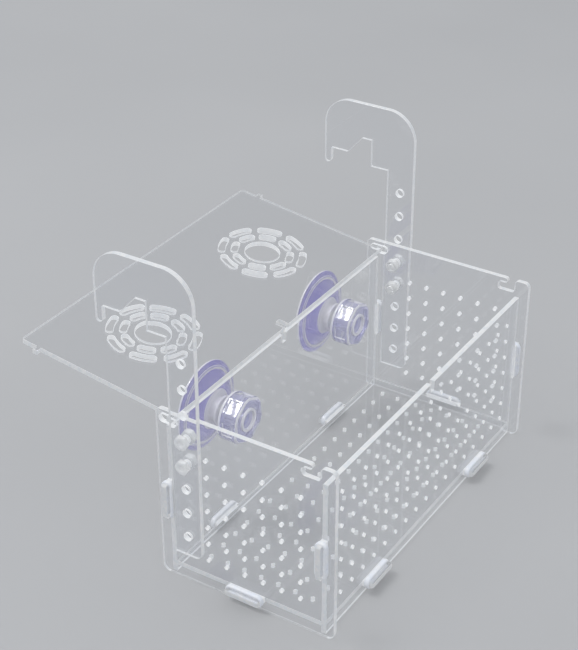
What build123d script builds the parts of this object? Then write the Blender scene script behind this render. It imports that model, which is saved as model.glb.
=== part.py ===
from build123d import *
import os
from math import cos, degrees, pi, radians, sin, tan

# Hang-on breeding box for aquarium fish: flat-packed clear acrylic sheet, locked by tabs and silicone rings.
# Millimetres. +X is right, +Y points to the tank wall, +Z up. The pieces are drawn with Y counted from the
# end panels' front edge and Z from the edge that they stand on; save() moves Y to the whole object's middle.

# Sheet and clearances
SHEET = 2.8  # thickness of every acrylic piece
TAB_CLEAR = 0.15  # tab to its slot, each side
RUN_CLEAR = 0.05  # radial, between a turning piece and its screw or stud
SEAT_GAP = 0.1  # turning piece to the face that it faces

# Box
BOX_WIDTH = 197.2  # between the end panels
BOX_DEPTH = 100.0  # end panel, front to back
BOX_HEIGHT = 98.5  # end panel
WALL_SETBACK = 5.0  # front and back panels, inside the end panels' edges
WALL_TOP_DROP = 9.5  # their top edges, below the end panels' top
WALL_FOOT = 1.0  # their lower edges, above the stand plane
FLOOR_RISE = 4.9  # bottom panel, above the stand plane
FOOT_ROUND = 4.0
BACK_TOP_ROUND = 3.0

# Tabs and ring clips
TAB_WIDTH = 20.0
TAB_NECK = 17.6  # width between a tab's shoulders, where the ring sits
TAB_TIP = 2.0  # thickness of the lugs that hold the ring
TAB_TIP_CUT = 0.8  # off each lug's outer corner
TAB_DROP = 1.75  # wall tabs' middle, below half the box's height
FLOOR_TAB_X = 54.0  # bottom panel's front and back tabs, either side of the middle
RING_DEPTH = 2.7
RING_WALL = 1.9
RING_CORNER = 1.8  # cut off each outer corner
RING_PLAY = 0.05  # ring to neck, each side

# Drilled holes
WATER_RADIUS = 1.0
WATER_SIDES = 4  # few sides suit so small a hole
WATER_COLUMN = 10.8  # pitch across the front and the bottom
WATER_COLUMNS = 17
WATER_ROW = 10.0
WATER_ROWS = 7
WATER_RISE = 17.3  # lowest row
END_COLUMN = 10.6
END_COLUMNS = 6
END_COLUMN_FIRST = 19.0  # from the front edge

# Lid, its hinge and its latch
LID_OVERHANG = 11.2  # free edge, beyond the middle of the free ears
LID_SIDE_GAP = 0.5
LID_TILT = 7.6  # degrees above level where the open lid stops
LID_ROUND = 2.0
EAR_WIDTH = 2.8
EAR_LENGTH = 3.0
HINGE_FROM_BACK = 7.8  # lid axis, from the end panels' back edge
HINGE_DROP = 5.0  # lid axis, below the end panels' top
HINGE_SLOT_HEIGHT = 4.4
HINGE_SLOT_FRONT = 5.2  # slot, in front of the axis
HINGE_SLOT_BACK = 5.8  # slot, behind it: room to slide the latched lid back
HORN_WIDTH = 8.3
HORN_FRONT_ROUND = 3.0
HORN_BACK_ROUND = 2.2
LATCH_MOUTH = 4.2
LATCH_POCKET = 5.5  # from the mouth to the pocket's closed end
LATCH_FLOOR_DROP = 7.4  # below the end panels' top
LATCH_FINGER = 3.0  # height of the finger over the pocket
LATCH_ROUND = 1.4
TIP_SHARE = 0.49  # rounding of a narrow tip, as a share of its width
DIVIDER_SLOT = 3.25
DIVIDER_DEPTH = 5.0
LID_NOTCH_WIDTH = 3.4
LID_NOTCH_DEPTH = 6.0
LID_NOTCH_ROUND = 1.0
CUT_SPILL = 1.0  # how far a cutting profile runs past the edge that it opens

# Feeding rosettes in the lid
ROSETTE_X = 50.0
ROSETTE_FROM_HINGE_EDGE = 48.3
FEED_RADIUS = 9.75
ROSETTE_RINGS = (15.5, 22.5)  # middle radii of the two rings of curved slots
ROSETTE_SLOT = 4.0  # slot width
ROSETTE_SLOTS = 8
ROSETTE_SPAN = 36.0  # degrees that a slot covers, ends included
ROSETTE_STEPS = 2  # straight facets along a curved slot
ROSETTE_END_STEPS = 3  # round each of its ends

# Hook plates
HOOK_STEM = 16.0
HOOK_RING_GAP = 0.3  # stem to the back tab's ring
HOOK_RISE = 79.0  # top, above the end panels' top
HOOK_HEIGHT = 159.5
HOOK_REACH = 40.0  # stem's back edge to the lip's back edge
HOOK_LIP = 4.0
HOOK_LIP_DROP = 39.7  # these five are measured down from the hook's top
INNER_SEAT_DROP = 36.0
OUTER_SEAT_DROP = 30.7
CREST_DROP = 20.5
FRONT_SHOULDER_ROUND = 16.5
BACK_SHOULDER_ROUND = 16.0
INNER_SEAT = 10.5  # widths along the hook's underside, from the stem
CREST = 6.0
SLOPE = 9.0
HOOK_FOOT_ROUND = 4.0
HOOK_HOLES = 8
HOOK_HOLE_PITCH = 14.3
HOOK_HOLE_FIRST = 11.6  # lowest hole, above the hook's foot
BOLT_HOLES_USED = (3, 4)  # counted up from the lowest

# Bolts and nuts
BOLT_HOLE_RADIUS = 2.25
BOLT_HOLE_SIDES = 8
THREAD_SIDES = 12  # facets of a bolt's or stud's shank, and of what runs on it
BOLT_RADIUS = 2.0
BOLT_LENGTH = 10.0
HEX_FLATS = 7.0
HEX_SIDES = 6
BOLT_HEAD = 2.8
NUT_HEIGHT = 3.4

# Suction cups, measured from the back panel's outer face
CUP_X = 53.85
CUP_LID_GAP = 0.3  # top of the cup's rim to the underside of the open lid
CUP_RADIUS = 22.6
CUP_REACH = 10.7  # rim plane
CUP_LIP = 0.8  # flat face of the rim
CUP_WALL = 1.1
CUP_COLLAR_RADIUS = 8.2
CUP_COLLAR = 1.6
CUP_NECK_RADIUS = 6.3
CUP_NECK = 3.6
CUP_FLARE_RADIUS = 10.5
CUP_FLARE = 5.3
CUP_BAND_RADIUS = 19.3  # where the thicker rim band starts
CUP_BAND = 0.5  # its step
CUP_HOLLOW = 6.1  # the dish's deepest point
CUP_SIDES = 20

# Studs, with a hexagonal head that can't turn in the cup's hub
STUD_RADIUS = 3.0
STUD_HOLE_RADIUS = 3.3
STUD_HOLE_SIDES = 16
STUD_HEAD_RADIUS = 5.0
STUD_HEAD = 1.8
STUD_HEAD_COVER = 0.9
STUD_ENGAGEMENT = 7.2  # length inside the knob

# Knobs
KNOB_GAP = 2.8  # back panel's inner face to the knob
KNOB_LENGTH = 11.0
KNOB_CORNER_RADIUS = 13.5
KNOB_CORNER_CUT = 2.2
ROUND_SIDES = 16  # facets of the knob's flange, well and boss
KNOB_FLANGE_RADIUS = 12.4
KNOB_FLANGE = 1.4
KNOB_CHAMFER = 1.0
KNOB_TURN = 35.0  # degrees, as the knobs stand
GRIP_WIDTH = 7.0
GRIP_LENGTH = 6.4
GRIP_DEPTH = 0.8
KNOB_BORE_DEPTH = 8.0
FACE_WELL_RADIUS = 9.2
FACE_WELL_DEPTH = 1.2
BOSS_RADIUS = 6.4
BOSS_WALL = 1.5
BOSS_DISH = 1.8

# Places worked out from the sizes above
SIDES = {"left": -1, "right": 1}
END_INNER = BOX_WIDTH / 2
END_OUTER = END_INNER + SHEET
FRONT_FACE = WALL_SETBACK
FRONT_INNER = FRONT_FACE + SHEET
BACK_FACE = BOX_DEPTH - WALL_SETBACK
BACK_INNER = BACK_FACE - SHEET
FRONT_MIDDLE = FRONT_FACE + SHEET / 2
BACK_MIDDLE = BACK_FACE - SHEET / 2
WALL_TOP = BOX_HEIGHT - WALL_TOP_DROP
TAB_RISE = BOX_HEIGHT / 2 - TAB_DROP
FLOOR_MIDDLE = FLOOR_RISE + SHEET / 2
BOX_MIDDLE = BOX_DEPTH / 2
RING_INNER = SHEET + 2 * RING_PLAY
RING_OUTER = RING_INNER + 2 * RING_WALL
TAB_SHOULDER = SHEET + RING_DEPTH + 2 * RING_PLAY
HINGE_Y = BOX_DEPTH - HINGE_FROM_BACK
HINGE_Z = BOX_HEIGHT - HINGE_DROP
LATCH_Y = HORN_WIDTH + LATCH_MOUTH / 2
LID_WIDTH = BOX_WIDTH - 2 * LID_SIDE_GAP
EAR_SPACING = HINGE_Y - LATCH_Y
LID_REACH = EAR_SPACING + LID_OVERHANG  # hinge axis to free edge
STEM_BACK = BACK_MIDDLE - RING_OUTER / 2 - HOOK_RING_GAP
BOLT_Y = STEM_BACK - HOOK_STEM / 2
HOOK_TOP = BOX_HEIGHT + HOOK_RISE
HOOK_FOOT = HOOK_TOP - HOOK_HEIGHT
HOOK_OUTER = END_OUTER + SHEET
TILT = radians(LID_TILT)
OPEN_BACK = HINGE_Y + LID_REACH * cos(TILT) + SHEET / 2 * sin(TILT)
RIM_Y = BACK_FACE + CUP_REACH - CUP_WALL  # widest part of a cup
LID_OVER_RIM = HINGE_Z + (RIM_Y - HINGE_Y) * tan(TILT) - SHEET / 2 / cos(TILT)
CUP_RISE = LID_OVER_RIM - CUP_LID_GAP - CUP_RADIUS
ORIGIN_Y = OPEN_BACK / 2


def outline(corners):
    """Face with the given (a, b, rounding) corners."""
    points = [(a, b) for a, b, _ in corners]
    return make_face(FilletPolyline(*points, radius=[c[2] for c in corners], close=True))


def along_x(profile, low):
    """Sheet from a profile in (Y, Z), its left face at X = low."""
    return extrude(Plane.YZ.offset(low) * profile, SHEET)


def along_y(profile, low):
    """Sheet from a profile in (X, Z), its front face at Y = low."""
    return extrude(Plane.XZ.offset(-low - SHEET) * profile, SHEET)


def tab():
    """Tab that leaves an edge along +Y: through the wall, a neck for the ring, then two lugs."""
    half, neck, tip = TAB_WIDTH / 2, TAB_NECK / 2, TAB_SHOULDER + TAB_TIP
    right = [
        (half, 0, 0),
        (half, SHEET, 0),
        (neck, SHEET, 0),
        (neck, TAB_SHOULDER, 0),
        (half, TAB_SHOULDER, 0),
        (half, tip - TAB_TIP_CUT, 0),
        (half - TAB_TIP_CUT, tip, 0),
    ]
    left = [(-a, b, rounding) for a, b, rounding in reversed(right)]
    return outline(right + left)


def tab_slot():
    """Slot for a tab, long along X."""
    return Rectangle(TAB_WIDTH + 2 * TAB_CLEAR, SHEET + 2 * TAB_CLEAR)


def upright_tab_slot():
    return Rot(0, 0, 90) * tab_slot()


def water_hole():
    return RegularPolygon(WATER_RADIUS, WATER_SIDES)


def bolt_hole():
    return RegularPolygon(BOLT_HOLE_RADIUS, BOLT_HOLE_SIDES, major_radius=False)


def bolt_rises():
    """Heights of the hook plate's holes."""
    return [HOOK_FOOT + HOOK_HOLE_FIRST + HOOK_HOLE_PITCH * i for i in range(HOOK_HOLES)]


def end_profile():
    """End panel in (Y, Z): horn, latch notch with its finger, and round corners."""
    floor = BOX_HEIGHT - LATCH_FLOOR_DROP
    mouth = HORN_WIDTH + LATCH_MOUTH
    finger = BOX_HEIGHT - LATCH_FINGER
    tip_round = LATCH_FINGER * TIP_SHARE
    return outline(
        [
            (0, 0, FOOT_ROUND),
            (BOX_DEPTH, 0, FOOT_ROUND),
            (BOX_DEPTH, BOX_HEIGHT, BACK_TOP_ROUND),
            (mouth, BOX_HEIGHT, tip_round),
            (mouth, finger, tip_round),
            (mouth + LATCH_POCKET, finger, LATCH_ROUND),
            (mouth + LATCH_POCKET, floor, LATCH_ROUND),
            (HORN_WIDTH, floor, LATCH_ROUND),
            (HORN_WIDTH, BOX_HEIGHT, HORN_BACK_ROUND),
            (0, BOX_HEIGHT, HORN_FRONT_ROUND),
        ]
    )


def end_panel(side):
    """End panel with its water holes, tab slots, hinge slot and hook bolt holes."""
    rises = bolt_rises()
    hinge_length = HINGE_SLOT_FRONT + HINGE_SLOT_BACK
    hinge_middle = HINGE_Y + (HINGE_SLOT_BACK - HINGE_SLOT_FRONT) / 2
    cuts = [
        Pos(END_COLUMN_FIRST + END_COLUMN * i, WATER_RISE + WATER_ROW * j) * water_hole()
        for i in range(END_COLUMNS)
        for j in range(WATER_ROWS)
    ]
    cuts += [Pos(y, TAB_RISE) * upright_tab_slot() for y in (FRONT_MIDDLE, BACK_MIDDLE)]
    cuts += [Pos(BOX_MIDDLE, FLOOR_MIDDLE) * tab_slot()]
    cuts += [Pos(hinge_middle, HINGE_Z) * SlotOverall(hinge_length, HINGE_SLOT_HEIGHT)]
    cuts += [Pos(BOLT_Y, rises[i]) * bolt_hole() for i in BOLT_HOLES_USED]
    low = END_INNER if side > 0 else -END_OUTER
    return along_x(end_profile() - cuts, low)


def wall_profile():
    """Front or back panel in (X, Z): side tabs, slots for the bottom panel's tabs, divider slot."""
    height = WALL_TOP - WALL_FOOT
    middle = (WALL_TOP + WALL_FOOT) / 2
    profile = Pos(0, middle) * Rectangle(BOX_WIDTH, height)
    profile += Pos(END_INNER, TAB_RISE) * Rot(0, 0, -90) * tab()
    profile += Pos(-END_INNER, TAB_RISE) * Rot(0, 0, 90) * tab()
    cuts = [Pos(side * FLOOR_TAB_X, FLOOR_MIDDLE) * tab_slot() for side in SIDES.values()]
    cuts += [Pos(0, WALL_TOP - DIVIDER_DEPTH / 2) * Rectangle(DIVIDER_SLOT, DIVIDER_DEPTH)]
    return profile - cuts


def front_panel():
    top_row = WATER_RISE + WATER_ROW * (WATER_ROWS - 1)
    middle = Pos(0, (WATER_RISE + top_row) / 2)
    holes = GridLocations(WATER_COLUMN, WATER_ROW, WATER_COLUMNS, WATER_ROWS) * water_hole()
    return along_y(wall_profile() - [middle * hole for hole in holes], FRONT_FACE)


def back_panel():
    hole = RegularPolygon(STUD_HOLE_RADIUS, STUD_HOLE_SIDES, major_radius=False)
    holes = [Pos(side * CUP_X, CUP_RISE) * hole for side in SIDES.values()]
    return along_y(wall_profile() - holes, BACK_INNER)


def bottom_panel():
    """Perforated floor, with a tab through each end panel and two through each wall."""
    profile = Pos(0, BOX_MIDDLE) * Rectangle(BOX_WIDTH, BACK_INNER - FRONT_INNER)
    for side in SIDES.values():
        profile += Pos(side * END_INNER, BOX_MIDDLE) * Rot(0, 0, -90 * side) * tab()
        profile += Pos(side * FLOOR_TAB_X, BACK_INNER) * tab()
        profile += Pos(side * FLOOR_TAB_X, FRONT_INNER) * Rot(0, 0, 180) * tab()
    holes = GridLocations(WATER_COLUMN, WATER_ROW, WATER_COLUMNS, WATER_ROWS) * water_hole()
    profile -= [Pos(0, BOX_MIDDLE) * hole for hole in holes]
    return extrude(Plane.XY.offset(FLOOR_RISE) * profile, SHEET)


def curved_slot(radius, middle):
    """Round-ended slot that follows a circle, drawn with short straight facets; middle is its angle."""
    half = ROSETTE_SLOT / 2
    end = ROSETTE_SPAN / 2 - degrees(half / radius)
    points = []
    for side in (1, -1):
        for i in range(ROSETTE_STEPS + 1):
            angle = radians(middle + side * end * (2 * i / ROSETTE_STEPS - 1))
            reach = radius + side * half
            points.append((reach * cos(angle), reach * sin(angle)))
        centre = radians(middle + side * end)
        start = centre if side > 0 else centre + pi
        for i in range(1, ROSETTE_END_STEPS):
            turn = start + pi * i / ROSETTE_END_STEPS
            x = radius * cos(centre) + half * cos(turn)
            y = radius * sin(centre) + half * sin(turn)
            points.append((x, y))
    return make_face(Polyline(*points, close=True))


def rosette():
    """Feeding hole with two rings of curved slots round it."""
    cuts = [Circle(FEED_RADIUS)]
    step = 360 / ROSETTE_SLOTS
    for radius in ROSETTE_RINGS:
        cuts += [curved_slot(radius, step * (i + 0.5)) for i in range(ROSETTE_SLOTS)]
    return cuts


def lid():
    """Lid drawn flat with Y counted from its hinge axis to its free edge, then tilted open."""
    hinge_edge = -EAR_WIDTH / 2
    half = LID_WIDTH / 2
    profile = outline(
        [
            (-half, hinge_edge, 0),
            (half, hinge_edge, 0),
            (half, LID_REACH, LID_ROUND),
            (-half, LID_REACH, LID_ROUND),
        ]
    )
    for side in SIDES.values():
        for y in (0, EAR_SPACING):
            profile += Pos(side * (half + EAR_LENGTH / 2), y) * Rectangle(EAR_LENGTH, EAR_WIDTH)
    notch = outline(
        [
            (-LID_NOTCH_WIDTH / 2, hinge_edge - CUT_SPILL, 0),
            (LID_NOTCH_WIDTH / 2, hinge_edge - CUT_SPILL, 0),
            (LID_NOTCH_WIDTH / 2, hinge_edge + LID_NOTCH_DEPTH, LID_NOTCH_ROUND),
            (-LID_NOTCH_WIDTH / 2, hinge_edge + LID_NOTCH_DEPTH, LID_NOTCH_ROUND),
        ]
    )
    cuts = [notch]
    for side in SIDES.values():
        middle = Pos(side * ROSETTE_X, hinge_edge + ROSETTE_FROM_HINGE_EDGE)
        cuts += [middle * cut for cut in rosette()]
    flat = extrude(Plane.XY.offset(-SHEET / 2) * (profile - cuts), SHEET)
    return Pos(0, HINGE_Y, HINGE_Z) * Rot(LID_TILT, 0, 0) * flat


def hook_profile():
    """Hook plate in (Y, Z): stem, round shoulders, lip, and a stepped underside with a crest."""
    seat_end = STEM_BACK + INNER_SEAT
    crest_end = seat_end + CREST
    slope_end = crest_end + SLOPE
    lip_back = STEM_BACK + HOOK_REACH
    lip_inner = lip_back - HOOK_LIP
    tip_round = HOOK_LIP * TIP_SHARE
    return outline(
        [
            (STEM_BACK - HOOK_STEM, HOOK_FOOT, HOOK_FOOT_ROUND),
            (STEM_BACK, HOOK_FOOT, 0),
            (STEM_BACK, HOOK_TOP - INNER_SEAT_DROP, 0),
            (seat_end, HOOK_TOP - INNER_SEAT_DROP, 0),
            (seat_end, HOOK_TOP - CREST_DROP, 0),
            (crest_end, HOOK_TOP - CREST_DROP, 0),
            (slope_end, HOOK_TOP - OUTER_SEAT_DROP, 0),
            (lip_inner, HOOK_TOP - OUTER_SEAT_DROP, 0),
            (lip_inner, HOOK_TOP - HOOK_LIP_DROP, tip_round),
            (lip_back, HOOK_TOP - HOOK_LIP_DROP, tip_round),
            (lip_back, HOOK_TOP, BACK_SHOULDER_ROUND),
            (STEM_BACK - HOOK_STEM, HOOK_TOP, FRONT_SHOULDER_ROUND),
        ]
    )


def hook(side):
    """Hook plate on the end panel's outer face, with its row of height holes."""
    holes = [Pos(BOLT_Y, z) * bolt_hole() for z in bolt_rises()]
    low = END_OUTER if side > 0 else -HOOK_OUTER
    return along_x(hook_profile() - holes, low)


def shank(radius):
    """Section of a screw's or stud's shank."""
    return RegularPolygon(radius, THREAD_SIDES)


def shank_hole(radius):
    """Section of a hole that clears a shank of that radius."""
    return RegularPolygon(radius + RUN_CLEAR, THREAD_SIDES, major_radius=False)


def hexagon():
    """Hexagon of a bolt head or nut."""
    return RegularPolygon(HEX_FLATS / 2, HEX_SIDES, major_radius=False)


def bolt():
    """Screw along +Z, the underside of its head at Z = 0 and its shank going down."""
    return extrude(hexagon(), BOLT_HEAD) + extrude(shank(BOLT_RADIUS), -BOLT_LENGTH)


def nut():
    """Nut along +Z, its bearing face at Z = 0."""
    return extrude(hexagon() - shank_hole(BOLT_RADIUS), NUT_HEIGHT)


def ring_clip():
    """Silicone ring, long along X and lying on Z = 0, snug on the tab's neck."""
    outer = Rectangle(TAB_NECK + 2 * RING_PLAY + 2 * RING_WALL, RING_OUTER)
    inner = Rectangle(TAB_NECK + 2 * RING_PLAY, RING_INNER)
    return extrude(chamfer(outer.vertices(), RING_CORNER) - inner, RING_DEPTH)


def ring_places():
    """Name, place, long direction and outward direction of each ring clip."""
    places = {}
    for name, side in SIDES.items():
        face = side * (END_OUTER + RING_PLAY)
        out = (side, 0, 0)
        places[f"{name}_front_ring"] = ((face, FRONT_MIDDLE, TAB_RISE), (0, 0, 1), out)
        places[f"{name}_back_ring"] = ((face, BACK_MIDDLE, TAB_RISE), (0, 0, 1), out)
        places[f"{name}_floor_ring"] = ((face, BOX_MIDDLE, FLOOR_MIDDLE), (0, 1, 0), out)
        x = side * FLOOR_TAB_X
        front, back = FRONT_FACE - RING_PLAY, BACK_FACE + RING_PLAY
        places[f"front_{name}_ring"] = ((x, front, FLOOR_MIDDLE), (1, 0, 0), (0, -1, 0))
        places[f"back_{name}_ring"] = ((x, back, FLOOR_MIDDLE), (1, 0, 0), (0, 1, 0))
    return places


def turned(profile, sides):
    """Solid turned about Y from (radius, y) points, with flat facets round it."""
    steps = [2 * pi * i / sides for i in range(sides + 1)]
    facets = []
    for (r1, y1), (r2, y2) in zip(profile, profile[1:] + profile[:1]):
        for low, high in zip(steps, steps[1:]):
            corners = [(r1, y1, low), (r1, y1, high), (r2, y2, high), (r2, y2, low)]
            if r1 == 0:
                corners.pop(0)
            if r2 == 0:
                corners.pop()
            if len(corners) > 2:
                points = [(r * cos(turn), y, r * sin(turn)) for r, y, turn in corners]
                facets.append(Face(Wire.make_polygon(points)))
    return Solid(Shell(facets))


def stud_head(reach, depth):
    """Stud's hexagonal head in the cup's hub, grown by reach all round and depth at its far face."""
    hexagon_face = RegularPolygon(STUD_HEAD_RADIUS + reach, HEX_SIDES)
    place = Plane((0, STUD_HEAD_COVER, 0), x_dir=(1, 0, 0), z_dir=(0, 1, 0))
    return extrude(place * hexagon_face, STUD_HEAD + depth)


def suction_cup():
    """Cup with its hub on Y = 0 and its dish opening towards +Y, hollowed for the stud and its head."""
    rim_back = CUP_REACH - CUP_WALL
    cup = turned(
        [
            (0, 0),
            (CUP_COLLAR_RADIUS, 0),
            (CUP_COLLAR_RADIUS, CUP_COLLAR),
            (CUP_NECK_RADIUS, CUP_COLLAR),
            (CUP_NECK_RADIUS, CUP_NECK),
            (CUP_FLARE_RADIUS, CUP_FLARE),
            (CUP_BAND_RADIUS, rim_back - CUP_WALL + CUP_BAND),
            (CUP_BAND_RADIUS, rim_back - CUP_WALL),
            (CUP_RADIUS, rim_back),
            (CUP_RADIUS, CUP_REACH),
            (CUP_RADIUS - CUP_LIP, CUP_REACH),
            (CUP_FLARE_RADIUS, CUP_FLARE + CUP_WALL + CUP_BAND),
            (CUP_NECK_RADIUS, CUP_HOLLOW),
            (0, CUP_HOLLOW),
        ],
        CUP_SIDES,
    )
    neck = Plane.XZ * shank_hole(STUD_RADIUS)
    return cup - stud_head(RUN_CLEAR, RUN_CLEAR) - extrude(neck, -STUD_HEAD_COVER)


def cup_stud():
    """Stud along Y, from its buried head, through the back panel, into the knob."""
    length = STUD_HEAD_COVER + SHEET + KNOB_GAP + STUD_ENGAGEMENT
    start = Plane.XZ.offset(-STUD_HEAD_COVER)
    return stud_head(0, 0) + extrude(start * shank(STUD_RADIUS), length)


def cup_knob():
    """Knob along +Z, its round flange on Z = 0: six flats with grip recesses, and a ring boss in a well."""
    body = RegularPolygon(KNOB_CORNER_RADIUS, HEX_SIDES)
    knob = extrude(chamfer(body.vertices(), KNOB_CORNER_CUT), KNOB_LENGTH)
    knob = chamfer(knob.faces().sort_by(Axis.Z)[-1].edges(), KNOB_CHAMFER)
    knob += extrude(RegularPolygon(KNOB_FLANGE_RADIUS, ROUND_SIDES), KNOB_FLANGE)
    flat = KNOB_CORNER_RADIUS * cos(pi / HEX_SIDES)
    grip_middle = (KNOB_FLANGE + KNOB_LENGTH - KNOB_CHAMFER) / 2
    block = Box(GRIP_DEPTH, GRIP_WIDTH, GRIP_LENGTH)
    grip = Pos(flat - GRIP_DEPTH / 2, 0, grip_middle) * block
    knob -= [Rot(0, 0, 360 * (i + 0.5) / HEX_SIDES) * grip for i in range(HEX_SIDES)]
    knob -= extrude(shank_hole(STUD_RADIUS), KNOB_BORE_DEPTH)
    well = RegularPolygon(FACE_WELL_RADIUS, ROUND_SIDES) - RegularPolygon(BOSS_RADIUS, ROUND_SIDES)
    knob -= extrude(Plane.XY.offset(KNOB_LENGTH - FACE_WELL_DEPTH) * well, FACE_WELL_DEPTH)
    dish = RegularPolygon(BOSS_RADIUS - BOSS_WALL, ROUND_SIDES)
    knob -= extrude(Plane.XY.offset(KNOB_LENGTH - BOSS_DISH) * dish, BOSS_DISH)
    return Rot(0, 0, KNOB_TURN) * knob


def save(name, shape):
    """Write one piece, moved so that Y = 0 is the middle of the whole object."""
    export_step(Pos(0, -ORIGIN_Y, 0) * shape, f"parts/{name}.step")


def main():
    os.makedirs("parts", exist_ok=True)
    save("front_panel", front_panel())
    save("back_panel", back_panel())
    save("bottom_panel", bottom_panel())
    save("lid", lid())
    rises = bolt_rises()
    screw, screw_nut = bolt(), nut()
    for name, side in SIDES.items():
        save(f"{name}_end_panel", end_panel(side))
        save(f"{name}_hook", hook(side))
        for level, i in zip(("lower", "upper"), BOLT_HOLES_USED):
            outward = (side, 0, 0)
            inward = (-side, 0, 0)
            face = side * (END_INNER - SEAT_GAP)
            head = Plane((side * HOOK_OUTER, BOLT_Y, rises[i]), x_dir=(0, 0, 1), z_dir=outward)
            seat = Plane((face, BOLT_Y, rises[i]), x_dir=(0, 0, 1), z_dir=inward)
            save(f"{name}_{level}_bolt", head * screw)
            save(f"{name}_{level}_nut", seat * screw_nut)
        cup_place = Pos(side * CUP_X, BACK_FACE, CUP_RISE)
        knob_foot = (side * CUP_X, BACK_INNER - KNOB_GAP, CUP_RISE)
        knob_place = Plane(knob_foot, x_dir=(1, 0, 0), z_dir=(0, -1, 0))
        save(f"{name}_suction_cup", cup_place * suction_cup())
        save(f"{name}_cup_stud", cup_place * cup_stud())
        save(f"{name}_cup_knob", knob_place * cup_knob())
    clip = ring_clip()
    for name, (place, length, outward) in ring_places().items():
        save(name, Plane(place, x_dir=length, z_dir=outward) * clip)


main()
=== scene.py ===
import math

import bmesh
import bpy
from mathutils import Matrix, Vector
from mathutils.geometry import delaunay_2d_cdt


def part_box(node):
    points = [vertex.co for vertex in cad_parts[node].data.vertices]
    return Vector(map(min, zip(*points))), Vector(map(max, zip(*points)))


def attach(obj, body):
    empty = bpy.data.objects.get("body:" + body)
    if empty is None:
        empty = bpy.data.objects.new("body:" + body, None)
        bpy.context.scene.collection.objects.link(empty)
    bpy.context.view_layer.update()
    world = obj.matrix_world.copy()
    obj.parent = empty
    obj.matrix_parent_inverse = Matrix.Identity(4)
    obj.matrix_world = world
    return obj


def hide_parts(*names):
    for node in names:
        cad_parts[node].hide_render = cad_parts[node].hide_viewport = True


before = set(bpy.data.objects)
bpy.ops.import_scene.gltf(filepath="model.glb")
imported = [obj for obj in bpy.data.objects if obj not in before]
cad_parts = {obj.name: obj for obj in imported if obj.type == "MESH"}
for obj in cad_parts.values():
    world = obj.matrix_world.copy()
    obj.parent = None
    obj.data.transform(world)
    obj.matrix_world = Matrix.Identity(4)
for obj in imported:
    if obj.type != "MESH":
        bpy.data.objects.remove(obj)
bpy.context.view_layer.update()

MM = 0.001
TILT = math.radians(7.6)  # how far the open lid points above level
LID_NORMAL = Vector((0, -math.sin(TILT), math.cos(TILT)))

# Painted glow: emission on each sheet's cut edges, stronger on the walls of its holes, standing in
# for the light that a clear sheet gathers over its faces and gives off where it is cut.
EDGE_PAINTED_GLOW, HOLE_EDGE_PAINTED_GLOW = 0.07, 0.32

# Holes in the sheets, in millimetres. No water hole and no bolt hole reaches further than this
# from its middle.
WATER_HOLE_REACH = 1.3
BOLT_HOLE_REACH = 4.0
FEED_RADIUS = 9.75  # round hole in the middle of each rosette in the lid
SLOT_RADII = (15.5, 22.5)  # the two rings of curved slots round it
ROSETTE_REACH = 30  # a hole nearer than this to a feeding hole belongs to its rosette

BOLT_HEAD = 2.8  # height of a bolt's head, in millimetres

# ---------------------------------------------------------------- materials


class Nodes:
    """Short names for the shader nodes of one material."""

    def __init__(self, name):
        self.material = bpy.data.materials.new(name)
        self.material.use_nodes = True
        self.tree = self.material.node_tree
        self.tree.nodes.clear()
        self.output = self.add("ShaderNodeOutputMaterial")

    def add(self, kind, **values):
        node = self.tree.nodes.new(kind)
        for key, value in values.items():
            node.inputs[key.replace("_", " ")].default_value = value
        return node

    def join(self, source, target):
        self.tree.links.new(source, target)

    def noise(self, scale, detail=3.0, rough=0.5):
        place = self.add("ShaderNodeTexCoord")
        noise = self.add("ShaderNodeTexNoise", Scale=scale, Detail=detail, Roughness=rough)
        self.join(place.outputs["Object"], noise.inputs["Vector"])
        return noise.outputs["Fac"]

    def span(self, source, low, high, start=0.3, end=0.7):
        """Source stretched from start..end to low..high."""
        ends = {"From_Min": start, "From_Max": end, "To_Min": low, "To_Max": high}
        reach = self.add("ShaderNodeMapRange", **ends)
        self.join(source, reach.inputs["Value"])
        return reach.outputs["Result"]

    def colours(self, source, stops):
        ramp = self.add("ShaderNodeValToRGB")
        band = ramp.color_ramp
        while len(band.elements) < len(stops):
            band.elements.new(0.5)
        for element, (place, colour) in zip(band.elements, stops):
            element.position = place
            element.color = (*colour, 1.0)
        self.join(source, ramp.inputs["Fac"])
        return ramp.outputs["Color"]

    def bump(self, source, strength, distance):
        bump = self.add("ShaderNodeBump", Strength=strength, Distance=distance)
        self.join(source, bump.inputs["Height"])
        return bump.outputs["Normal"]

    def surface(self, **values):
        return self.add("ShaderNodeBsdfPrincipled", **values)

    def mix(self, first, second):
        """Mix of two shaders, as its factor input and its output."""
        mix = self.add("ShaderNodeMixShader")
        factor, one, two = mix.inputs
        self.join(first, one)
        self.join(second, two)
        return factor, mix.outputs[0]

    def close(self, shader, see_through=0.0):
        """Finish the material; see_through is the share of lamp and spread light that passes."""
        if see_through:
            tint = (see_through, see_through, see_through, 1)
            clear = self.add("ShaderNodeBsdfTransparent", Color=tint)
            path = self.add("ShaderNodeLightPath")
            for kind in ("Is Shadow Ray", "Is Diffuse Ray"):
                factor, shader = self.mix(shader, clear.outputs[0])
                self.join(path.outputs[kind], factor)
        self.join(shader, self.output.inputs["Surface"])
        return self.material

    def close_glowing(self, body, colour, spread, see_through):
        """Finish a milky or frosted material; spread is the share of light that it scatters."""
        glow = self.add("ShaderNodeBsdfTranslucent")
        self.join(colour, glow.inputs["Color"])
        factor, shader = self.mix(body.outputs[0], glow.outputs[0])
        factor.default_value = spread
        return self.close(shader, see_through)


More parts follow.
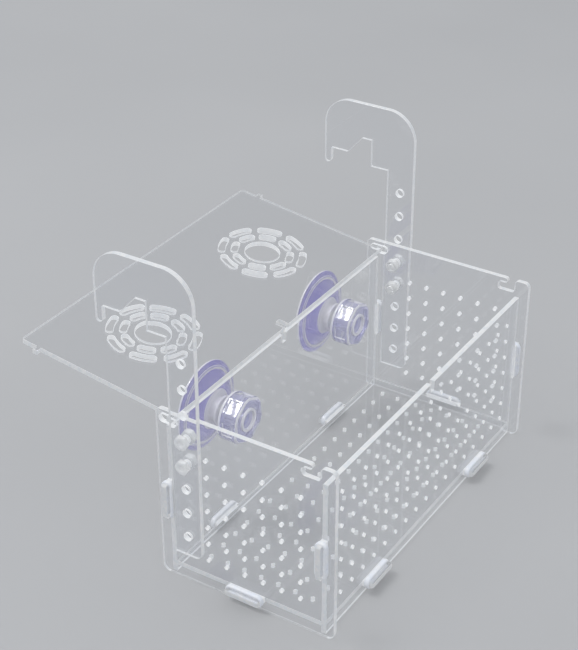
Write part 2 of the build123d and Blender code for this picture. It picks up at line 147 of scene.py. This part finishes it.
def acrylic_face():
    """Clear cast sheet: glass with faint scuffs in its gloss."""
    n = Nodes("acrylic_face")
    body = n.surface(IOR=1.49, Transmission_Weight=1.0, Base_Color=(0.985, 0.99, 1.0, 1))
    scuffs = n.noise(900.0, detail=4.0, rough=0.7)
    n.join(n.span(scuffs, 0.0, 0.035, start=0.5, end=0.8), body.inputs["Roughness"])
    waves = n.noise(26.0, detail=1.0)
    n.join(n.bump(waves, 0.04, 0.2 * MM), body.inputs["Normal"])
    return n.close(body.outputs[0], see_through=0.985)


def acrylic_edge(name, painted_glow):
    """Laser-cut edge: frosted, with fine cut lines, and a painted glow: it emits the light that a
    sheet gathers.
    """
    n = Nodes(name)
    # Painted glow: the cut edge emits light of its own, at this strength.
    light = {"Emission_Color": (0.96, 0.98, 1.0, 1), "Emission_Strength": painted_glow}
    body = n.surface(IOR=1.49, Roughness=0.16, **light)
    frost = n.noise(420.0, detail=4.0, rough=0.65)
    colour = n.colours(frost, [(0.3, (0.86, 0.90, 0.94)), (0.6, (1.0, 1.0, 1.0))])
    n.join(colour, body.inputs["Base Color"])
    cut_lines = n.noise(2600.0, detail=2.0)
    n.join(n.bump(cut_lines, 0.25, 0.1 * MM), body.inputs["Normal"])
    return n.close_glowing(body, colour, spread=0.4, see_through=0.9)


def moulded(name, deep, pale, tone, gloss, grain, spread, see_through, **values):
    """Moulded plastic with a mottled colour, uneven gloss and a fine grain.

    tone is a noise's scale and detail. gloss is a noise's scale and the least and most roughness.
    grain is a noise's scale and detail, and its strength and depth as a bump.
    """
    n = Nodes(name)
    body = n.surface(**values)
    colour = n.colours(n.noise(*tone), [(0.3, deep), (0.7, pale)])
    n.join(colour, body.inputs["Base Color"])
    n.join(n.span(n.noise(gloss[0]), *gloss[1:]), body.inputs["Roughness"])
    n.join(n.bump(n.noise(*grain[:2]), *grain[2:]), body.inputs["Normal"])
    return n.close_glowing(body, colour, spread, see_through)


def violet_vinyl(name, deep, pale, milk):
    """Soft violet see-through vinyl of the cups."""
    return moulded(
        name, deep, pale,
        tone=(70.0, 4.0), gloss=(320.0, 0.04, 0.14), grain=(260.0, 3.0, 0.08, 0.3 * MM),
        spread=0.08, see_through=0.75,
        IOR=1.5, Transmission_Weight=1 - milk, Coat_Weight=0.6, Coat_Roughness=0.08,
    )


def lilac_plastic(name, deep, pale, milk):
    """Pale lilac plastic of the knobs."""
    return moulded(
        name, deep, pale,
        tone=(110.0, 4.0), gloss=(420.0, 0.03, 0.12), grain=(300.0, 2.0, 0.08, 0.3 * MM),
        spread=0.05, see_through=0.8,
        IOR=1.5, Transmission_Weight=1 - milk, Coat_Weight=0.8, Coat_Roughness=0.05,
    )


FACE = acrylic_face()
# Cut edges with a painted glow, stronger on the walls of holes.
EDGE = acrylic_edge("acrylic_edge", EDGE_PAINTED_GLOW)
HOLE_EDGE = acrylic_edge("acrylic_hole_edge", HOLE_EDGE_PAINTED_GLOW)
# Screws, nuts and studs.
CLEAR = moulded(
    "clear_plastic", (0.95, 0.97, 0.99), (1.0, 1.0, 1.0),
    tone=(180.0, 3.0), gloss=(700.0, 0.02, 0.1), grain=(240.0, 2.0, 0.1, 0.2 * MM),
    spread=0.05, see_through=0.85, IOR=1.5, Transmission_Weight=0.42,
)
# Ring clips.
SILICONE = moulded(
    "silicone", (0.88, 0.92, 1.0), (0.97, 0.98, 1.0),
    tone=(260.0, 4.0), gloss=(900.0, 0.2, 0.42), grain=(1300.0, 3.0, 0.2, 0.2 * MM),
    spread=0.1, see_through=0.6, IOR=1.41, Transmission_Weight=0.0,
)
# Knobs, and a paler, milkier copy that paints a highlight on their rims; cups, and a paler, milkier
# copy that paints a highlight on their hubs and rims.
LILAC = lilac_plastic("lilac_plastic", (0.68, 0.68, 0.99), (0.84, 0.84, 1.0), milk=0.2)
LILAC_PAINTED_HIGHLIGHT = lilac_plastic("lilac_plastic_painted_highlight", (0.90, 0.90, 1.0), (0.97, 0.97, 1.0), milk=0.75)
VIOLET = violet_vinyl("violet_vinyl", (0.51, 0.47, 0.96), (0.66, 0.63, 0.99), milk=0.12)
VIOLET_PAINTED_HIGHLIGHT = violet_vinyl("violet_vinyl_painted_highlight", (0.91, 0.90, 1.0), (0.98, 0.97, 1.0), milk=0.85)

# ------------------------------------------------------------ sheet pieces


def close_loops(node, normal):
    """Loops round the upper face of a flat CAD node, as (u, v) in metres, with its plane."""
    same_height = 2e-6
    mesh = node.data
    u_axis = Vector((1, 0, 0)) if abs(normal.x) < 0.5 else Vector((0, 1, 0))
    v_axis = normal.cross(u_axis).normalized()
    keys, points = {}, []

    def number(co):
        """The point's number; points that agree to a micrometre share one."""
        key = tuple(round(c * 1e6) for c in co)
        if key not in keys:
            keys[key] = len(points)
            points.append(co.copy())
        return keys[key]

    ids = [number(v.co) for v in mesh.vertices]
    heights = [p.dot(normal) for p in points]
    top, low = max(heights), min(heights)
    directed = set()
    for face in mesh.polygons:
        corners = [ids[i] for i in face.vertices]
        if all(abs(heights[c] - top) < same_height for c in corners):
            directed.update(zip(corners, corners[1:] + corners[:1]))
    onward = {a: b for a, b in directed if (b, a) not in directed}
    loops = []
    while onward:
        start, place = onward.popitem()
        loop = [start]
        while place != start:
            loop.append(place)
            place = onward.pop(place)
        loops.append([(points[i].dot(u_axis), points[i].dot(v_axis)) for i in loop])
    return loops, u_axis, v_axis, low, top


def area(loop):
    """Area inside the loop, below 0 for a hole."""
    return sum(a[0] * b[1] - b[0] * a[1] for a, b in zip(loop, loop[1:] + loop[:1])) / 2


def encloses(loop, point):
    """True if the loop goes round the point."""
    crossings = 0
    for a, b in zip(loop, loop[1:] + loop[:1]):
        if (a[1] > point[1]) != (b[1] > point[1]):
            crossings += point[0] < a[0] + (b[0] - a[0]) * (point[1] - a[1]) / (b[1] - a[1])
    return crossings % 2 == 1


def middle_and_reach(loop):
    middle = Vector((sum(p[0] for p in loop), sum(p[1] for p in loop))) / len(loop)
    return middle, max((Vector(p) - middle).length for p in loop)


def circle(centre, radius, count):
    steps = [2 * math.pi * i / count for i in range(count)]
    return [(centre[0] + radius * math.cos(t), centre[1] + radius * math.sin(t)) for t in steps]


def arc_slot(centre, radius, middle, half_width=2.0 * MM, span=math.radians(36.0)):
    """Round-ended slot that follows a circle; middle is the angle at its middle."""
    side_steps, end_steps = 12, 10
    end = span / 2 - half_width / radius
    loop = []
    for side in (1, -1):
        reach = radius + side * half_width
        for i in range(side_steps + 1):
            angle = middle + side * end * (2 * i / side_steps - 1)
            loop.append((centre[0] + reach * math.cos(angle), centre[1] + reach * math.sin(angle)))
        last = middle + side * end
        start = last if side > 0 else last + math.pi
        for i in range(1, end_steps):
            turn = start + math.pi * i / end_steps
            loop.append((
                centre[0] + radius * math.cos(last) + half_width * math.cos(turn),
                centre[1] + radius * math.sin(last) + half_width * math.sin(turn),
            ))
    return loop


def turn_at(before, here, after):
    """Turn of an outline at a point, in radians, above 0 to the left."""
    first = math.atan2(here[1] - before[1], here[0] - before[0])
    second = math.atan2(after[1] - here[1], after[0] - here[0])
    return (second - first + math.pi) % (2 * math.pi) - math.pi


def rounder(loop, pieces=4):
    """The loop with each chord of a rounded corner or round hole split along its arc."""
    least_turn, most_turn, largest_radius = 0.02, 0.5, 30 * MM
    count = len(loop)
    turns = [turn_at(loop[i - 1], loop[i], loop[(i + 1) % count]) for i in range(count)]
    result = []
    for i in range(count):
        a, b = Vector(loop[i]), Vector(loop[(i + 1) % count])
        first, second = turns[i], turns[(i + 1) % count]
        result.append(tuple(a))
        on_arc = least_turn < abs(first) < most_turn and least_turn < abs(second) < most_turn
        if not on_arc or first * second < 0:
            continue
        angle = max(abs(first), abs(second))
        chord = b - a
        radius = chord.length / (2 * math.sin(angle / 2))
        if radius > largest_radius:
            continue
        way = 1 if first > 0 else -1
        side = Vector((-chord.y, chord.x)).normalized() * way
        centre = (a + b) / 2 + side * radius * math.cos(angle / 2)
        begin = math.atan2(a.y - centre.y, a.x - centre.x)
        step = angle / pieces * way
        for j in range(1, pieces):
            here = begin + step * j
            result.append((centre.x + radius * math.cos(here), centre.y + radius * math.sin(here)))
    return result


def inset(loop, reach):
    """The loop moved reach into the material, which lies on its left."""
    sharpest = 0.35  # keeps a very sharp corner from running away
    count = len(loop)
    moved = []
    for i in range(count):
        a, b, c = Vector(loop[i - 1]), Vector(loop[i]), Vector(loop[(i + 1) % count])
        one, two = (b - a).normalized(), (c - b).normalized()
        left = Vector((-one.y, one.x)), Vector((-two.y, two.x))
        scale = reach / max(sharpest, 1 + left[0].dot(left[1]))
        moved.append(tuple(b + (left[0] + left[1]) * scale))
    return moved


def smoothed(loops):
    """The loops made round again where the CAD solid has few straight facets."""
    water_hole_sides, bolt_hole_sides, own_middle = 12, 28, 5 * MM
    holes = [middle_and_reach(loop) for loop in loops if area(loop) < 0]
    feeds = [middle for middle, reach in holes if abs(reach - FEED_RADIUS * MM) < 0.2 * MM]
    result = []
    for loop in loops:
        middle, reach = middle_and_reach(loop)
        near = [f for f in feeds if (middle - f).length < ROSETTE_REACH * MM]
        if area(loop) > 0:
            result.append(rounder(loop))
        elif reach < WATER_HOLE_REACH * MM:
            result.append(circle(middle, reach, water_hole_sides)[::-1])
        elif reach < BOLT_HOLE_REACH * MM and len(loop) in (8, 12, 16) and not near:
            flat_reach = reach * math.cos(math.pi / len(loop))
            result.append(circle(middle, flat_reach, bolt_hole_sides)[::-1])
        elif near and (middle - near[0]).length > own_middle:
            from_feed = middle - near[0]
            radius = min((r * MM for r in SLOT_RADII), key=lambda r: abs(r - from_feed.length))
            slot = arc_slot(near[0], radius, math.atan2(from_feed.y, from_feed.x))
            result.append(slot if area(slot) < 0 else slot[::-1])
        else:
            result.append(rounder(loop))
    return result


def sheet(node_name, normal, body, bevel=0.14 * MM, air=0.02 * MM):
    """Sheet drawn again from its CAD node: smooth outline, fine bevel, air at touching faces."""
    loops, u_axis, v_axis, low, top = close_loops(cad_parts[node_name], normal)
    low, top = low + air, top - air
    loops = smoothed(loops)
    insets = [inset(loop, bevel) for loop in loops]
    is_hole = [area(loop) < 0 for loop in loops]
    flat, lines, owners = [], [], []
    for number, loop in enumerate(insets):
        first = len(flat)
        flat += [Vector(p) for p in loop]
        lines += [(first + i, first + (i + 1) % len(loop)) for i in range(len(loop))]
        owners += [number] * len(loop)
    inside_outline = 2  # this kind of triangulation fills the holes too
    points, _, faces, origins, _, _ = delaunay_2d_cdt(flat, lines, [], inside_outline, 1e-9)
    if len(points) != len(flat):
        raise ValueError(f"{node_name}: the outline crosses itself")
    back = [o[0] for o in origins]

    def fills_hole(corners):
        owner = owners[corners[0]]
        if not is_hole[owner] or any(owners[c] != owner for c in corners):
            return False
        return encloses(insets[owner], sum((flat[c] for c in corners), Vector((0, 0))) / 3)

    def place(p, height):
        return u_axis * p[0] + v_axis * p[1] + normal * height

    count = len(flat)
    outer = [p for loop in loops for p in loop]
    verts = [place(p, top) for p in flat] + [place(p, top - bevel) for p in outer]
    verts += [place(p, low + bevel) for p in outer] + [place(p, low) for p in flat]
    materials = (FACE, EDGE, HOLE_EDGE)
    polygons, kinds = [], []
    for face in faces:
        corners = [back[i] for i in face]
        if not fills_hole(corners):
            polygons += [corners, [c + 3 * count for c in reversed(corners)]]
            kinds += [materials.index(FACE)] * 2
    for a, b in lines:
        # Hole walls take the edge material with the stronger painted glow.
        kind = materials.index(HOLE_EDGE if is_hole[owners[a]] else EDGE)
        for ring in range(3):
            up, down = ring * count, (ring + 1) * count
            polygons.append([a + down, b + down, b + up, a + up])
            kinds.append(kind)
    mesh = bpy.data.meshes.new(f"{node_name}_sheet")
    mesh.from_pydata(verts, [], polygons)
    for material in materials:
        mesh.materials.append(material)
    mesh.polygons.foreach_set("material_index", kinds)
    mesh.update()
    piece = bpy.data.objects.new(f"{node_name}_sheet", mesh)
    bpy.context.scene.collection.objects.link(piece)
    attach(piece, body)
    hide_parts(node_name)


for side in ("left", "right"):
    sheet(f"{side}_end_panel", Vector((1, 0, 0)), "box")
    sheet(f"{side}_hook", Vector((1, 0, 0)), "box")
sheet("front_panel", Vector((0, 1, 0)), "box")
sheet("back_panel", Vector((0, 1, 0)), "box")
sheet("bottom_panel", Vector((0, 0, 1)), "box")
sheet("lid", LID_NORMAL, "lid")

# -------------------------------------------------------- moulded pieces
# They are drawn in millimetres, with their axis along z, and placed by standing().


def grid(name, rings, frame_at, material, node_name, body,
         closed=False, sharp=35, other=None, is_other=None):
    """Piece made of rings of points, each joined to the next; a ring of one point closes an end.

    is_other(row, column) says which faces take the other material.
    """
    verts, starts, rows = [], [], []
    for ring in rings:
        starts.append(len(verts))
        verts += [frame_at @ Vector(p) for p in ring]
    polygons = []
    pairs = list(zip(range(len(rings)), range(1, len(rings))))
    if closed:
        pairs.append((len(rings) - 1, 0))
    for row, (one, two) in enumerate(pairs):
        first, second, a, b = rings[one], rings[two], starts[one], starts[two]
        count = max(len(first), len(second))
        rows += [bool(other) and is_other(row, i) for i in range(count)]
        for i in range(count):
            j = (i + 1) % count
            if len(first) == 1:
                polygons.append((a, b + j, b + i))
            elif len(second) == 1:
                polygons.append((a + i, a + j, b))
            else:
                polygons.append((a + i, a + j, b + j, b + i))
    mesh = bpy.data.meshes.new(name)
    mesh.from_pydata(verts, [], polygons)
    mesh.materials.append(material)
    if other:
        mesh.materials.append(other)
        mesh.polygons.foreach_set("material_index", rows)
    work = bmesh.new()
    work.from_mesh(mesh)
    bmesh.ops.recalc_face_normals(work, faces=work.faces)
    work.to_mesh(mesh)
    work.free()
    mesh.polygons.foreach_set("use_smooth", [True] * len(mesh.polygons))
    mesh.set_sharp_from_angle(angle=math.radians(sharp))
    piece = bpy.data.objects.new(name, mesh)
    bpy.context.scene.collection.objects.link(piece)
    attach(piece, body)
    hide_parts(node_name)


def standing(origin, x_dir, z_dir):
    """Place for a piece drawn in millimetres, with its x and z axes along these directions."""
    x, z = Vector(x_dir).normalized(), Vector(z_dir).normalized()
    turn = Matrix((x, z.cross(x), z)).transposed().to_4x4()
    return Matrix.Translation(origin) @ turn @ Matrix.Diagonal((MM, MM, MM, 1))


def tip(height):
    return [(0, 0, height)]


def round_ring(radius, height, count=72):
    return [(*p, height) for p in circle((0, 0), radius, count)]


def hex_reach(angle, apothem, soft=0.985):
    """Distance from the axis to a hexagon's side, with its corners a little rounded off."""
    local = (angle + math.pi / 6) % (math.pi / 3) - math.pi / 6
    return min(apothem / math.cos(local), soft * apothem / math.cos(math.pi / 6))


def hex_ring(apothem, height, chamfer=None, up=1, count=72):
    """Ring on a hexagon; a chamfer from that radius outwards drops its corners."""
    ring = []
    for i in range(count):
        angle = 2 * math.pi * i / count
        reach = hex_reach(angle, apothem)
        drop = 0 if chamfer is None else up * max(0.0, reach - chamfer) * math.tan(math.pi / 6)
        ring.append((reach * math.cos(angle), reach * math.sin(angle), height - drop))
    return ring


def thread(radius, depth, pitch, start, end, count=72, rings_per_turn=6):
    """Rings of a screw thread from height start to end; it fades out over a quarter at each end."""
    total = max(2, int(abs(end - start) / pitch * rings_per_turn))
    rings = []
    for k in range(total + 1):
        height = start + (end - start) * k / total
        fade = min(1.0, 4 * k / total, 4 * (total - k) / total) if total > 4 else 1.0
        ring = []
        for i in range(count):
            angle = 2 * math.pi * i / count
            wave = 0.5 - 0.5 * math.cos(2 * math.pi * (height / pitch - i / count))
            reach = radius - depth * wave * fade
            ring.append((reach * math.cos(angle), reach * math.sin(angle), height))
        rings.append(ring)
    return rings


def bolt(name, origin, outward):
    """Clear plastic screw: chamfered hexagon head with a moulding dimple, and a threaded shank."""
    place = standing(origin, (0, 0, 1), outward)
    head, apothem, chamfer = 2.78, 3.48, 3.2
    rings = [
        tip(head - 0.35), round_ring(1.3, head - 0.33), round_ring(1.6, head - 0.05),
        round_ring(1.75, head), round_ring(chamfer, head), hex_ring(apothem, head, chamfer),
        hex_ring(apothem, 0.2), hex_ring(apothem - 0.18, 0.03), round_ring(2.3, 0.03),
        round_ring(1.98, -0.15), *thread(1.98, 0.3, 0.7, -0.2, -9.4),
        round_ring(1.6, -9.9), tip(-9.98),
    ]
    grid(f"{name}_screw", rings, place, CLEAR, name, "box")


def nut(name, origin, inward):
    """Clear plastic hexagon nut, chamfered on both faces, with a threaded bore."""
    place = standing(origin, (0, 0, 1), inward)
    low, height, apothem, chamfer, bore = 0.02, 3.38, 3.48, 3.25, 2.45
    rings = [
        round_ring(bore, low), round_ring(chamfer, low), hex_ring(apothem, low, chamfer, -1),
        hex_ring(apothem, height, chamfer), round_ring(chamfer, height), round_ring(bore, height),
        *thread(2.32, 0.26, 0.7, height - 0.3, 0.3),
    ]
    grid(f"{name}_body", rings, place, CLEAR, name, name, closed=True)


def stud(name, origin):
    """Clear threaded stud with its hexagon head, drawn towards the box's inside."""
    place = standing(origin, (1, 0, 0), (0, -1, 0))
    rings = [
        tip(-2.68), round_ring(3.9, -2.68), hex_ring(4.33, -2.6), hex_ring(4.33, -0.95),
        hex_ring(4.2, -0.92), round_ring(3.2, -0.92), round_ring(2.98, -0.8),
        *thread(2.98, 0.42, 1.25, -0.7, 12.2), round_ring(2.5, 12.7), tip(12.78),
    ]
    grid(f"{name}_screw", rings, place, CLEAR, name, "box")


def suction_cup(name, origin):
    """Soft dish with a thick rim, fine sealing ridges, a flared neck and a collar on the stud."""
    place = standing(origin, (1, 0, 0), (0, 1, 0))
    pocket_and_collar = [
        (0, 2.74), (5.0, 2.74), (5.06, 2.7), (5.06, 0.95), (5.0, 0.9), (3.1, 0.9), (3.06, 0.86),
        (3.06, 0.12), (3.2, 0.02), (7.7, 0.02), (8.0, 0.1), (8.17, 0.35), (8.17, 1.2), (8.0, 1.48),
    ]
    neck_and_back = [
        (7.6, 1.6), (6.7, 1.66), (6.42, 1.8), (6.3, 2.1), (6.3, 3.0), (6.42, 3.5), (6.9, 4.0),
        (7.8, 4.5), (9.0, 4.95), (10.4, 5.35), (12.5, 6.15), (14.8, 7.08), (17.0, 7.97),
        (18.1, 8.42), (18.5, 8.5), (18.8, 8.32), (19.2, 8.26), (19.5, 8.42), (19.7, 8.7),
        (19.95, 8.86), (21.0, 9.2),
    ]
    rim = [
        (22.1, 9.5), (22.45, 9.66), (22.58, 9.9), (22.58, 10.45), (22.48, 10.63), (22.25, 10.7),
        (21.75, 10.7), (21.5, 10.6), (21.2, 10.42), (20.95, 10.48), (20.75, 10.4), (20.5, 10.18),
    ]
    ridges_and_floor = [
        (19.4, 9.83), (19.15, 9.88), (18.95, 9.8), (18.7, 9.6), (17.6, 9.24), (17.35, 9.29),
        (17.15, 9.2), (16.9, 9.02), (14.0, 8.05), (12.0, 7.38), (10.5, 6.88), (8.6, 6.4),
        (6.3, 6.12), (3.0, 6.05), (0, 6.04),
    ]
    profile = pocket_and_collar + neck_and_back + rim + ridges_and_floor
    rings = [round_ring(radius, z, 128) if radius else tip(z) for radius, z in profile]

    def is_painted_highlight(row, column):
        """True on the hub, the rim and the two bands on the dish's back, which take the paler vinyl
        as a painted highlight.
        """
        radius, height = profile[row]
        return height < 5.3 or radius > 22.2 or 18.0 < radius < 19.1 or 19.6 < radius < 19.9

    grid(f"{name}_dish", rings, place, VIOLET, name, "box",
         sharp=50, other=VIOLET_PAINTED_HIGHLIGHT, is_other=is_painted_highlight)


KNOB_APOTHEM = 11.69
WINDOW_HALF = 3.4  # half the width of a grip window


def knob_outline():
    """Points round the knob's body, each with its flat's direction and if it is in a window."""
    flat_half, easing = 4.55, 0.3
    along = [-4.1, -3.52, -3.36, -2.4, -1.2, 0, 1.2, 2.4, 3.36, 3.52, 4.1]
    outline = []
    for k in range(6):
        turn = math.radians(30 + 60 * k + 35)
        next_turn = turn + math.radians(60)
        out, next_out = (Vector((math.cos(t), math.sin(t))) for t in (turn, next_turn))
        side, next_side = (Vector((-math.sin(t), math.cos(t))) for t in (turn, next_turn))
        outline += [(out * KNOB_APOTHEM + side * t, out, abs(t) < WINDOW_HALF) for t in along]
        begin = out * KNOB_APOTHEM + side * flat_half
        end = next_out * KNOB_APOTHEM - next_side * flat_half
        before_begin = out * KNOB_APOTHEM + side * (flat_half - easing)
        after_end = next_out * KNOB_APOTHEM - next_side * (flat_half - easing)
        eased_corners = (
            (before_begin, begin, begin.lerp(end, 0.14)),
            (begin.lerp(end, 0.86), end, after_end),
        )
        for before, corner, after in eased_corners:
            for share in (0.0, 0.5, 1.0):
                point = before.lerp(corner, share).lerp(corner.lerp(after, share), share)
                outline.append((point, out, False))
    return outline


def knob(name, origin, body):
    """Lilac knob: flange, flats with sunk grip windows, rounded rim, and a ring boss in a well."""
    place = standing(origin, (1, 0, 0), (0, -1, 0))
    outline = knob_outline()
    windows = [window for _, _, window in outline]
    sunk = 0.8

    def disc(radius, height):
        return [(*(p.normalized() * radius), height) for p, _, _ in outline]

    def flats(height, moved_in=0.0, depth=0.0):
        """Ring on the body's outline, moved in, and in the grip windows by depth as well."""
        share = 1 - moved_in / KNOB_APOTHEM
        dips = [out * depth if window else Vector((0, 0)) for _, out, window in outline]
        return [(*(p * share - dip), height) for (p, _, _), dip in zip(outline, dips)]

    bore_and_back = [
        tip(8.0), disc(3.05, 7.98), disc(3.06, 0.3), disc(3.3, 0.02), disc(11.95, 0.02),
    ]
    flange = [
        disc(12.28, 0.12), disc(12.38, 0.36), disc(12.38, 1.06), disc(12.28, 1.3), disc(12.0, 1.4),
    ]
    grip = [
        flats(1.5, 0.25), flats(1.62, 0.02), flats(2.48), flats(2.64, 0, sunk), flats(5.7, 0, sunk),
        flats(8.76, 0, sunk), flats(8.92), flats(9.95), flats(10.2, 0.06),
    ]
    front_rim = [flats(10.62, 0.36), flats(10.9, 0.76), flats(10.98, 1.05), disc(9.4, 10.98)]
    well = [disc(9.22, 10.88), disc(9.15, 9.84), disc(6.6, 9.8)]
    boss = [
        disc(6.42, 9.95), disc(6.36, 10.76), disc(6.2, 10.95), disc(5.95, 10.98), disc(5.2, 10.98),
        disc(4.96, 10.86), disc(4.9, 9.4), disc(4.7, 9.22), tip(9.2),
    ]
    rings = bore_and_back + flange + grip + front_rim + well + boss
    flange_rows, rim_rows, boss_rows = range(5, 8), range(18, 21), range(26, 32)
    window_ends, window_sides = (12, 15), (13, 14)

    def is_bright(row, column):
        """True on the rims and on the walls of the grip windows, which take the paler plastic as a
        painted highlight.
        """
        here, after = windows[column], windows[(column + 1) % len(windows)]
        if row in window_ends:
            return here and after
        if row in window_sides:
            return here != after
        return row in flange_rows or row in rim_rows or row in boss_rows

    grid(f"{name}_grip", rings, place, LILAC, name, body,
         sharp=28, other=LILAC_PAINTED_HIGHLIGHT, is_other=is_bright)


def rounded_loop(half_long, half_wide, radius, corner_steps=7, long_steps=8):
    """Points of a rounded rectangle, the same number for every size."""
    far, high = half_long - radius, half_wide - radius
    loop = []
    for x, y, begin in ((far, high, 0), (-far, high, 90), (-far, -high, 180), (far, -high, 270)):
        for i in range(corner_steps + 1):
            t = math.radians(begin + 90 * i / corner_steps)
            loop.append((x + radius * math.cos(t), y + radius * math.sin(t)))
        if begin in (0, 180):
            edge = y + radius * (1 if begin == 0 else -1)
            loop += [(x - 2 * x * i / long_steps, edge) for i in range(1, long_steps)]
    return loop


def ring_clip(name, origin, long_dir, outward):
    """Silicone ring: long oval with a soft round section."""
    place = standing(origin, long_dir, outward)
    outer, inner = rounded_loop(10.73, 3.33, 3.2), rounded_loop(8.86, 1.47, 0.5)
    depth, wall, soft, steps = 2.68, 1.86, 0.72, 5
    far, high = wall - soft, depth - soft
    section = []
    for x, z, begin in ((far, high, 0), (soft, high, 90), (soft, soft, 180), (far, soft, 270)):
        for i in range(steps + 1):
            t = math.radians(begin + 90 * i / steps)
            section.append(((x + soft * math.cos(t)) / wall, z + soft * math.sin(t)))
    rings = [
        [(a + (c - a) * share, b + (d - b) * share, height) for (a, b), (c, d) in zip(inner, outer)]
        for share, height in section
    ]
    grid(f"{name}_loop", rings, place, SILICONE, name, "box", closed=True, sharp=60)


def spot(node_name, face):
    """Point at the middle of one side of the node's bounding box; face is that side's direction."""
    low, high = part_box(node_name)
    point = (low + high) / 2
    for axis in range(3):
        if face[axis]:
            point[axis] = high[axis] if face[axis] > 0 else low[axis]
    return point


UP, ALONG_X, ALONG_Y = (0, 0, 1), (1, 0, 0), (0, 1, 0)
FRONT, BACK = (0, -1, 0), (0, 1, 0)
for side, sign in (("left", -1), ("right", 1)):
    outward, inward = (sign, 0, 0), (-sign, 0, 0)
    for level in ("lower", "upper"):
        end = spot(f"{side}_{level}_bolt", outward)
        bolt(f"{side}_{level}_bolt", (end.x - sign * BOLT_HEAD * MM, end.y, end.z), outward)
        nut(f"{side}_{level}_nut", spot(f"{side}_{level}_nut", outward), inward)
    hub = spot(f"{side}_suction_cup", FRONT)
    suction_cup(f"{side}_suction_cup", hub)
    stud(f"{side}_cup_stud", hub)
    seat = spot(f"{side}_cup_knob", BACK)
    knob(f"{side}_cup_knob", (hub.x, seat.y, hub.z), f"{side}_knob")
    for name, long_dir, out in (
        (f"{side}_front_ring", UP, outward),
        (f"{side}_back_ring", UP, outward),
        (f"{side}_floor_ring", ALONG_Y, outward),
        (f"front_{side}_ring", ALONG_X, FRONT),
        (f"back_{side}_ring", ALONG_X, BACK),
    ):
        ring_clip(name, spot(name, [-c for c in out]), long_dir, out)

# ------------------------------------------------------ floor, light, camera


def stage_floor(reach=12.0):
    corners = [(-reach, -reach, 0), (reach, -reach, 0), (reach, reach, 0), (-reach, reach, 0)]
    mesh = bpy.data.meshes.new("floor")
    mesh.from_pydata(corners, [], [(0, 1, 2, 3)])
    floor = bpy.data.objects.new("floor", mesh)
    bpy.context.scene.collection.objects.link(floor)
    n = Nodes("floor_paper")
    body = n.surface(Roughness=0.9)
    colour = n.colours(n.noise(3.0), [(0.3, (0.45, 0.455, 0.465)), (0.7, (0.475, 0.48, 0.49))])
    n.join(colour, body.inputs["Base Color"])
    mesh.materials.append(n.close(body.outputs[0]))


def area_lamp(name, place, size, watts, mirrored=False):
    """Lamp aimed at the box; only a mirrored one shows in glossy and clear surfaces."""
    target = Vector((0, 0, 0.08))
    data = bpy.data.lights.new(name, "AREA")
    data.shape = "RECTANGLE"
    data.size, data.size_y = size
    data.energy = watts
    lamp = bpy.data.objects.new(name, data)
    lamp.location = place
    lamp.rotation_euler = (target - Vector(place)).to_track_quat("-Z", "Y").to_euler()
    lamp.visible_glossy = lamp.visible_transmission = mirrored
    bpy.context.scene.collection.objects.link(lamp)


def light():
    """Even light from all round, with a darker backdrop wherever it is seen, also by mirroring."""
    world = bpy.data.worlds.new("studio")
    bpy.context.scene.world = world
    world.use_nodes = True
    tree = world.node_tree
    lighting = tree.nodes["Background"]
    backdrop = tree.nodes.new("ShaderNodeBackground")
    for part, strength in ((lighting, 0.72), (backdrop, 0.37)):
        part.inputs["Color"].default_value = (0.95, 0.97, 1.0, 1)
        part.inputs["Strength"].default_value = strength
    path = tree.nodes.new("ShaderNodeLightPath")
    seen = path.outputs["Is Camera Ray"]
    for kind in ("Is Glossy Ray", "Is Transmission Ray"):
        either = tree.nodes.new("ShaderNodeMath")
        either.operation = "MAXIMUM"
        tree.links.new(seen, either.inputs[0])
        tree.links.new(path.outputs[kind], either.inputs[1])
        seen = either.outputs[0]
    mix = tree.nodes.new("ShaderNodeMixShader")
    for source, target in zip((seen, lighting.outputs[0], backdrop.outputs[0]), mix.inputs):
        tree.links.new(source, target)
    tree.links.new(mix.outputs[0], tree.nodes["World Output"].inputs["Surface"])
    area_lamp("key", (-0.7, 1.28, 2.7), (0.9, 0.9), 31, mirrored=True)
    area_lamp("fill", (-1.1, -2.2, 1.9), (1.8, 1.1), 5)
    area_lamp("side", (2.0, -1.6, 1.6), (1.1, 1.1), 3)


def camera():
    """The photograph's camera, solved from the box's straight edges and right angles."""
    data = bpy.data.cameras.new("camera")
    data.lens, data.sensor_width, data.sensor_fit = 87.554, 36.0, "AUTO"
    data.clip_start, data.clip_end = 0.01, 50.0
    cam = bpy.data.objects.new("camera", data)
    right = Vector((0.53659388, -0.84383769, -0.0022254))
    down = Vector((-0.43845002, -0.27655383, -0.85514885))
    forward = Vector((0.72099139, 0.45984337, -0.51837775))
    turn = Matrix((right, -down, -forward)).transposed().to_4x4()
    cam.matrix_world = Matrix.Translation((-0.588987, -0.378604, 0.518562)) @ turn
    bpy.context.scene.collection.objects.link(cam)
    bpy.context.scene.camera = cam


stage_floor()
light()
camera()
scene = bpy.context.scene
scene.view_settings.view_transform = "Standard"
scene.cycles.max_bounces = 32
scene.cycles.transmission_bounces = 32
scene.cycles.glossy_bounces = 8
scene.cycles.transparent_max_bounces = 48
scene.cycles.caustics_reflective = False
scene.cycles.caustics_refractive = False
